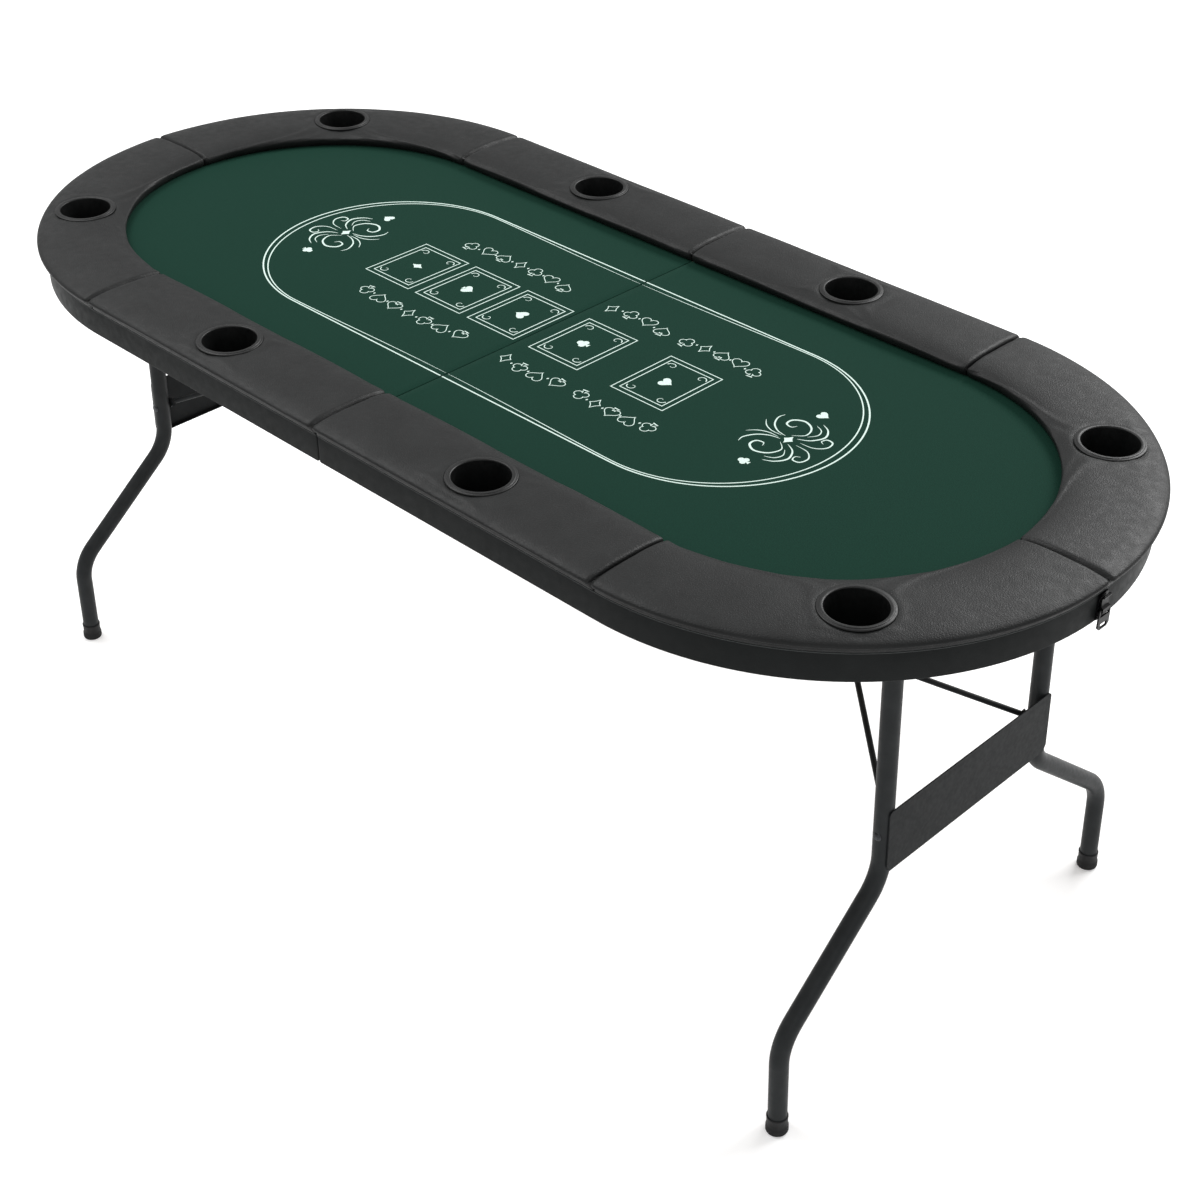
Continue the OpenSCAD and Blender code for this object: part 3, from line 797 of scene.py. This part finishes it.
def stamp(outline):
    count = len(outline)
    points = [(x, y, ink_z) for x, y in outline] + [(x, y, ink_z + INK_UP) for x, y in outline]
    faces = [tuple(range(count, 2 * count))]
    for i in range(count):
        n = (i + 1) % count
        faces.append((i, n, count + n, count + i))
    return points, faces


print(f"ink {INK_UP / MM:.1f} mm thick, {ink_z / MM:.1f} mm above the floor")

# %% [markdown]
# The four card suits are drawn by formula: a diamond with hollow sides, the well-known heart
# curve, the same curve upside down on a stem for the spade, and a three-lobed polar curve for the club.

# %% The four suits, one unit tall
def heart(steps=40, flip=1, skip=0):
    outline = []
    for i in range(skip, steps - skip + 1 if skip else steps):
        t = math.tau * i / steps
        y = (13 * math.cos(t) - 5 * math.cos(2 * t) - 2 * math.cos(3 * t) - math.cos(4 * t) + 2.5) / 30
        outline.append((16 * math.sin(t) ** 3 / 30, flip * y))
    return outline


STEM = [(-0.07, -0.2), (-0.1, -0.36), (-0.2, -0.5), (0.2, -0.5), (0.1, -0.36), (0.07, -0.2)]


def spade():
    body = [(x * 0.95, y * 0.92 + 0.06) for x, y in heart(40, -1, 2)]
    return body + STEM


def club(steps=48):
    body = []
    for i in range(3, steps - 2):
        a = -math.pi / 2 + math.tau * i / steps
        reach = 0.25 + 0.2 * abs(math.cos(1.5 * (a - math.pi / 2))) ** 0.8
        body.append((reach * math.cos(a) * 1.08, reach * math.sin(a) + 0.05))
    return body + STEM


def diamond(steps=6):
    corners = [(0, 0.5), (0.36, 0), (0, -0.5), (-0.36, 0)]
    outline = []
    for (x0, y0), (x1, y1) in zip(corners, corners[1:] + corners[:1]):
        for i in range(steps):
            t = i / steps
            hollow = 1 - 0.16 * math.sin(math.pi * t)
            outline.append(((x0 + (x1 - x0) * t) * hollow, (y0 + (y1 - y0) * t) * hollow))
    return outline


SUITS = {"spade": spade(), "heart": heart()[::-1], "club": club(), "diamond": diamond()}


def placed(outline, x, y, size, turn=0.0):
    c, s = math.cos(turn), math.sin(turn)
    return [(x + size * (u * c - v * s), y + size * (u * s + v * c)) for u, v in outline]


print("suits:", ", ".join(f"{k} {len(v)}" for k, v in SUITS.items()))

# %% [markdown]
# The betting line is a racetrack: a bold outer line, with a hairline inside it that swells in the
# straight and closes up to the bold line as it rounds the end. Both stop at the centre seam and go on
# in the other half, so each half carries its own share.

# %% Betting line
LINE_Y = 197 * MM
LINE_END = 315 * MM
LINE_W = 2.3 * MM
CENTRE = 1.6 * MM


def racetrack(inset_of, width_of, steps=160):
    line, widths = [], []
    straight = LINE_END - CENTRE
    whole = 2 * straight + math.pi * LINE_Y
    for i in range(steps + 1):
        share = i / steps
        s = share * whole
        r = LINE_Y - inset_of(share)
        if s < straight:
            line.append((CENTRE + s, -r))
        elif s < straight + math.pi * LINE_Y:
            a = (s - straight) / LINE_Y
            line.append((LINE_END + r * math.sin(a), -r * math.cos(a)))
        else:
            line.append((LINE_END - (s - straight - math.pi * LINE_Y), r))
        widths.append(width_of(share))
    return ribbon(line, widths)


def hair_inset(share):
    return (3.6 + 6.5 * abs(math.cos(2 * math.pi * share)) ** 1.5) * MM


def hair_width(share):
    return (0.3 + 1.6 * math.sin(math.pi * share) ** 0.5) * MM


track = join(racetrack(lambda share: 0.0, lambda share: LINE_W), racetrack(hair_inset, hair_width))
print("betting line:", len(track[1]), "faces for each half")

# %% [markdown]
# Five boxes mark where the shared cards are laid. Each is a double frame, with a small curl in every
# corner and one suit in the middle. Three boxes are on the left half and two on the right.

# %% Card boxes
BOX = (93 * MM, 117 * MM)
BOX_INNER = (76 * MM, 100 * MM)
BOX_X = {"left": (54.5 * MM, 164 * MM, 273 * MM), "right": (69.5 * MM, 225.5 * MM)}
BOX_LINE = 1.5 * MM


def frame_line(x, size, width):
    w, h = size[0] / 2, size[1] / 2
    parts = []
    for x0, y0, x1, y1 in ((-w, -h, w, -h), (w, -h, w, h), (w, h, -w, h), (-w, h, -w, -h)):
        dx, dy = x1 - x0, y1 - y0
        length = math.hypot(dx, dy)
        ox, oy = dx / length * width / 2, dy / length * width / 2
        parts.append(ribbon([(x + x0 - ox, y0 - oy), (x + x1 - ox * 0.98, y1 - oy * 0.98)], width))
    return join(*parts)


def curl(x, y, size, across, along):
    line, widths = [], []
    for i in range(25):
        t = i / 24
        a = math.tau * 0.85 * t
        r = size * (0.62 - 0.45 * t)
        u, v = size * 0.62 - r * math.cos(a), size * 0.62 - r * math.sin(a)
        line.append((x + across * u, y + along * v))
        widths.append((1.5 - 0.9 * t) * MM)
    return ribbon(line, widths)


def card_box(x, suit):
    parts = [frame_line(x, BOX, BOX_LINE), frame_line(x, BOX_INNER, BOX_LINE)]
    w, h = BOX_INNER[0] / 2 - 3.5 * MM, BOX_INNER[1] / 2 - 3.5 * MM
    for across in (1, -1):
        for along in (1, -1):
            parts.append(curl(x - across * w, -along * h, 13 * MM, across, along))
    parts.append(stamp(placed(SUITS[suit], x, 0, 20 * MM, math.pi / 2)))
    return join(*parts)


print("faces in one card box:", len(card_box(0, "heart")[1]))

# %% [markdown]
# Above and below the boxes runs a row of suits, each drawn as an open outline with a small
# diamond between it and the next, on a gentle arch.
# The end of each half has a flourish of tapering brush strokes round a diamond, the same on both sides.

# %% Suit rows
ROW_Y = 99 * MM
PIP = 24 * MM
ROWS = {
    "left": ((54, 283, ("spade", "heart", "club", "diamond", "spade", "heart", "club")),),
    "right": ((8, 138, ("diamond", "club", "heart", "spade")),
              (152, 304, ("club", "diamond", "spade", "heart", "club"))),
}


def suit_row(x0, x1, names, flip):
    parts = []
    for i, name in enumerate(names):
        t = (i + 0.5) / len(names)
        x = x0 + (x1 - x0) * t
        rise = 9 * MM * math.sin(math.pi * t)
        y = flip * (ROW_Y + rise)
        lean = -flip * 0.18 * math.cos(math.pi * t)
        turn = lean + (0 if flip > 0 else math.pi)
        parts.append(ribbon(placed(SUITS[name], x, y, PIP, turn), 1.2 * MM, closed=True))
        if i:
            middle = x0 + (x1 - x0) * i / len(names)
            parts.append(stamp(placed(SUITS["diamond"], middle, y, 5 * MM, turn)))
    return join(*parts)


rows = {side: [suit_row(x0 * MM, x1 * MM, names, flip) for x0, x1, names in found for flip in (1, -1)]
        for side, found in ROWS.items()}
print("suit rows:", {side: len(found) for side, found in rows.items()})


# %% Flourish
STROKES = (
    (2.8, (-4, 11), (9, 24), (3, 42), (-14, 50), (-28, 42), (-28, 30), (-18, 27), (-14, 34)),
    (2.4, (7, 9), (22, 18), (30, 36), (22, 52), (8, 60)),
    (2.0, (16, 4), (36, 6), (48, 18), (46, 32), (36, 34), (33, 26), (39, 22)),
    (2.0, (-9, 5), (-24, 8), (-38, 18), (-46, 34), (-44, 46)),
    (1.4, (-14, 3), (-30, 3), (-44, 9), (-54, 20)),
    (1.4, (13, 22), (20, 34), (16, 46), (4, 52)),
)


def flourish(x):
    parts = [stamp(placed(SUITS["diamond"], x, 0, 20 * MM))]
    for along in (1, -1):
        for widest, *corners in STROKES:
            parts.append(tapered([(x + u * MM, along * v * MM) for u, v in corners], widest * MM))
    for suit, y in (("heart", 78 * MM), ("club", -78 * MM)):
        parts.append(stamp(placed(SUITS[suit], x - 6 * MM, y, 17 * MM, math.pi / 2)))
    return join(*parts)


print("brush strokes in a flourish:", 2 * len(STROKES))

# %% Print both halves
BOX_SUITS = {"left": ("heart", "spade", "diamond"), "right": ("club", "heart")}
for side, across in SIDES.items():
    boxes = [card_box(x, suit) for x, suit in zip(BOX_X[side], BOX_SUITS[side])]
    art = join(track, *boxes, *rows[side], flourish(436 * MM))
    printed = make_piece(f"{side}_print", art, ink.finish, f"{side}_half", "cloth", (across, 1))
    shape = bmesh.new()
    shape.from_mesh(printed.data)
    for face in shape.faces:
        if face.normal.z < -0.2:
            face.normal_flip()
    shape.to_mesh(printed.data)
    shape.free()

# %% [markdown]
# ## Steel, plating and board that the frame already has
# These pieces keep their designed shape. They only get a finish, and a bevel modifier that breaks each
# sharp edge by a few tenths of a millimetre, as paint and pressing do. A bevelled edge catches a line of
# light, which is most of what makes sheet metal look like metal.

# %% Finish the designed pieces
FINISHES = (
    (board, 0, "base_board"), (board, 0.6, "hinge_batten"), (zinc, 0.5, "leg_brackets"),
    (zinc, 0.4, "brace_anchor", "anchor_pin"), (zinc, 0.3, "hinge_leaves", "hinge_links", "hinge_pins"),
    (zinc, 0.2, "screws"), (leg_paint, 0, "pivot_tube", "leg_near", "leg_far"),
    # The crossbar's darker paint is painted shade.
    (bar_paint_painted_shade, 0.45, "crossbar"), (leg_paint, 0.5, "brace_arm_near", "brace_arm_far", "brace_link"),
    (dark_zinc, 0.3, "leg_bolts", "elbow_rivets"), (latch_paint, 0.3, "latch_base", "latch_keeper"),
    (latch_paint, 0.35, "latch_lever"), (latch_paint, 0.25, "latch_hasp"),
)


def finish_node(node, finish, bevel):
    node.data.materials.clear()
    node.data.materials.append(finish)
    if bevel:
        edge = node.modifiers.new("Broken_edge", "BEVEL")
        edge.width, edge.segments = bevel * MM, 2
        edge.limit_method, edge.angle_limit = "ANGLE", math.radians(40)
        edge.harden_normals = True


finished = 0
for name, node in nodes.items():
    for finish, bevel, *endings in FINISHES:
        if name.endswith(tuple(endings)):
            finish_node(node, finish, bevel)
            finished += 1
print("designed pieces finished:", finished)

# %% [markdown]
# ## Small fittings
# The frame says where each screw, bolt and foot is, but it draws them plain. The pieces below give them
# what the eye looks for: a cross recess in a screw's head, a rolled lip and grip rings on a foot cap, a plug
# in an open tube, and a bead of weld where two tubes meet.
# A screw's head is a disc of rings, and each point's height follows from its place on the disc.

# %% A screw head with a cross recess
def cross_depth(x, y, reach):
    """One in the middle of the cross recess and nothing outside it."""
    near, far = sorted((abs(x), abs(y)))
    across = max(0.0, min(1.0, (0.17 * reach - near) / (0.06 * reach)))
    along = max(0.0, min(1.0, (0.62 * reach - far) / (0.14 * reach)))
    return across * along


def screw_head(place, radius, height, steps=64):
    """place(x, y, h) gives a point in the table's frame, with h out from the face that the head is on."""
    rings = []
    for share in (0, 0.06, 0.12, 0.18, 0.26, 0.36, 0.46, 0.56, 0.64, 0.74, 0.84, 0.92, 0.98, 1.0):
        crown = height * math.sqrt(max(0.0, 1 - share ** 4))
        rings.append([place(x, y, crown - 0.55 * height * cross_depth(x, y, radius))
                      for x, y in circle(radius * share, steps)])
    return net(list(zip(*rings)), closed_ring=False, closed_path=True)


print("faces in a screw's head:", len(screw_head(lambda x, y, h: (x, y, h), 4 * MM, MM)[1]))


# %% Wood screws below the board
def islands(node):
    """The boxes of the separate solids in one node."""
    shape = bmesh.new()
    shape.from_mesh(node.data)
    seen = set()
    found = []
    for first in shape.verts:
        if first in seen:
            continue
        seen.add(first)
        edge = [first]
        spots = []
        while edge:
            vert = edge.pop()
            spots.append(vert.co.copy())
            near = {link.other_vert(vert) for link in vert.link_edges} - seen
            seen |= near
            edge += near
        found.append([(min(p[k] for p in spots), max(p[k] for p in spots)) for k in range(3)])
    shape.free()
    return found


for side in SIDES:
    parts = []
    for (x0, x1), (y0, y1), (z0, _) in islands(nodes[f"{side}_screws"]):
        middle_x, middle_y, radius = (x0 + x1) / 2, (y0 + y1) / 2, (x1 - x0) / 2
        parts.append(screw_head(lambda x, y, h: (middle_x + x, middle_y - y, z0 + 0.3 * MM - h),
                                radius + 0.1 * MM, 0.7 * MM))
    make_piece(f"{side}_screw_heads", join(*parts), zinc, f"{side}_half", "bright_steel", (1, 1))
    print(side, "screws:", len(parts))

# %% [markdown]
# The leg frame leans out a little, so everything on it is placed in a leaning frame of its own: its axis
# starts at the pivot tube and ends at the foot. `on_leg` takes a place in that frame to the table's frame.

# %% The leaning frame of the legs
tube_low, tube_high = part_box("right_pivot_tube")
pivot = Vector(((tube_low.x + tube_high.x) / 2, 0, (tube_low.z + tube_high.z) / 2))
tube_r = (tube_high.x - tube_low.x) / 2
leg_y = tube_high.y - tube_r
foot = frame["record"]["mounts"][0]["pos_m"]
foot_y = abs(foot[1])
splay = math.atan2(foot[0] - pivot.x, pivot.z)
leg_l = pivot.z / math.cos(splay)
print(f"the legs lean out {math.degrees(splay):.1f} degrees and are {leg_l * 1000:.0f} mm long")


def on_leg(x, y, z):
    c, s = math.cos(splay), math.sin(splay)
    return (pivot.x + x * c - z * s, y, pivot.z + x * s + z * c)


# %% Foot caps
CAP_H = 27 * MM
cap_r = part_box("right_foot_caps")[1].y - foot_y


def cap_outline():
    grip = tube_r + 0.05 * MM
    outline = [(0, -3 * MM), (cap_r - 1.6 * MM, -3 * MM), (cap_r - 0.6 * MM, 0.8 * MM), (cap_r, 2.2 * MM)]
    for i in range(4):
        up, groove = (3.2 + 1.7 * i) * MM, cap_r - 0.35 * MM
        outline += [(cap_r, up), (groove, up + 0.35 * MM), (groove, up + 0.85 * MM), (cap_r, up + 1.2 * MM)]
    outline += [(cap_r - 0.2 * MM, 10.4 * MM), (cap_r - 0.8 * MM, 11.4 * MM), (cap_r - 1.1 * MM, 14 * MM),
                (cap_r - 1.1 * MM, CAP_H - 3 * MM), (cap_r - 0.7 * MM, CAP_H - 2.2 * MM),
                (cap_r - 0.7 * MM, CAP_H - 0.8 * MM), (cap_r - 1.2 * MM, CAP_H), (grip, CAP_H),
                (grip, 5 * MM), (0, 5 * MM)]
    return outline


def foot_cap(y):
    def place(px, py, h):
        spot = on_leg(px, y + py, h - leg_l)
        return (spot[0], spot[1], max(0.0, spot[2]))
    return turned(cap_outline(), 56, place)


for side, across in SIDES.items():
    caps = make_piece(f"{side}_feet", join(foot_cap(foot_y), foot_cap(-foot_y)), rubber, f"{side}_leg",
                      "foot_rubber", (across, 1), math.radians(45))
    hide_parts(f"{side}_foot_caps")
print("points in a foot cap's outline:", len(cap_outline()))

# %% Bolt heads, tube plugs and weld beads
bolt_low, bolt_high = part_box("right_leg_bolts")
bolt = (bolt_low + bolt_high) / 2


def bolt_head(x, y, h):
    return (bolt.x + x, leg_y + tube_r + h - 0.2 * MM, bolt.z + y)


def bolt_washer():
    outline = [(3 * MM, 0), (6.4 * MM, 0), (6.4 * MM, 0.7 * MM), (6.0 * MM, 1.0 * MM), (3 * MM, 1.0 * MM)]
    return turned(outline, 48, lambda x, y, h: (bolt.x + x, leg_y + tube_r + h - 0.9 * MM, bolt.z + y))


def tube_plug():
    outline = [(0, 1.7 * MM), (5 * MM, 1.6 * MM), (9.5 * MM, 1.3 * MM), (11.6 * MM, 0.9 * MM),
               (tube_r, 0.3 * MM), (tube_r, -0.1 * MM), (tube_r - 1.4 * MM, -0.1 * MM)]
    return turned(outline, 48, lambda x, y, h: (pivot.x + x, leg_y + tube_r + h, pivot.z + y))


def weld_bead(steps=72, around=8):
    rings = []
    for i in range(steps):
        a = math.tau * i / steps
        x, y, z = tube_r * math.cos(a), leg_y + tube_r * math.sin(a), -tube_r * abs(math.sin(a))
        thick = (1.7 + 0.35 * math.sin(18 * a)) * MM
        out = Vector((math.cos(a), 0.6 * math.sin(a), -0.4)).normalized()
        rings.append([(pivot.x + x + out.x * u, y + out.y * u, pivot.z + z + v)
                      for u, v in circle(thick, around)])
    return net(rings, closed_path=True)


parts = (
    ("bolt_head", screw_head(bolt_head, 5.2 * MM, 2.6 * MM), dark_zinc, "bright_steel"),
    ("bolt_washer", bolt_washer(), dark_zinc, "bright_steel"),
    ("tube_plug", tube_plug(), cup_plastic, "cup_plastic"),
    ("weld", weld_bead(), leg_paint, "leg_paint"),
)
for side, edge, mirror in CORNERS:
    for name, shape, finish, slot in parts:
        make_piece(f"{side}_{name}_{edge}", shape, finish, f"{side}_leg", slot, mirror)
print("fittings on the legs:", 4 * len(parts))

# %% [markdown]
# ## Floor, light and camera
# A pale floor and large soft lamps, as in a studio for product pictures. A dark object is shown by what it
# reflects, so the lamps are big: their soft edges draw the crown of the rail and the roundness of the tubes.

# %% Floor
span = 40
corners = [(-span, -span, 0), (span, -span, 0), (span, span, 0), (-span, span, 0)]
floor = loose("floor", corners, [(0, 1, 2, 3)])
floor_finish = Recipe("studio_floor", 0.85, Emission_Color=(1, 1, 1, 1), Emission_Strength=0.22)
floor_finish.colour(floor_finish.cloud(1.5, 2), (243, 243, 243), (246, 246, 246))
floor.data.materials.append(floor_finish.finish)
print("floor", span * 2, "m wide")


# %% Light
def lamp(name, place, aim, size, power):
    data = bpy.data.lights.new(name, "AREA")
    data.shape, data.size, data.size_y, data.energy = "RECTANGLE", size[0], size[1], power
    light = bpy.data.objects.new(name, data)
    bpy.context.scene.collection.objects.link(light)
    light.location = place
    light.rotation_euler = (Vector(aim) - Vector(place)).to_track_quat("-Z", "Y").to_euler()
    return light


lamp("key", (-2.4, -0.6, 4.4), (0, 0, 0.6), (3.0, 2.6), 120)
lamp("fill", (3.6, -3.2, 2.6), (0, 0, 0.5), (2.4, 2.4), 22)
lamp("back", (0.6, 3.6, 3.4), (0, 0, 0.6), (3.4, 1.6), 190)
world = bpy.data.worlds.new("studio")
world.use_nodes = True
sky = world.node_tree.nodes["Background"]
sky.inputs["Color"].default_value = (1, 1, 1, 1)
sky.inputs["Strength"].default_value = 0.62
bpy.context.scene.world = world
bpy.context.scene.view_settings.view_transform = "Standard"
print("lamps:", len(bpy.data.lights))

# %% [markdown]
# The camera stands at a person's height off one corner and looks down along the table, with a
# slightly long lens, so that the near end does not swell.

# %% Camera
camera_data = bpy.data.cameras.new("camera")
camera_data.sensor_width, camera_data.lens = 36, 61.85
camera = bpy.data.objects.new("camera", camera_data)
bpy.context.scene.collection.objects.link(camera)
camera.location = (1.8489, -1.7662, 2.0568)
camera.rotation_mode = "YXZ"
camera.rotation_euler = (0.9617, -0.0062, 0.7792)
camera_data.shift_x = -0.0119
camera_data.clip_end = 200
bpy.context.scene.camera = camera
print("camera at", tuple(round(c, 2) for c in camera.location))
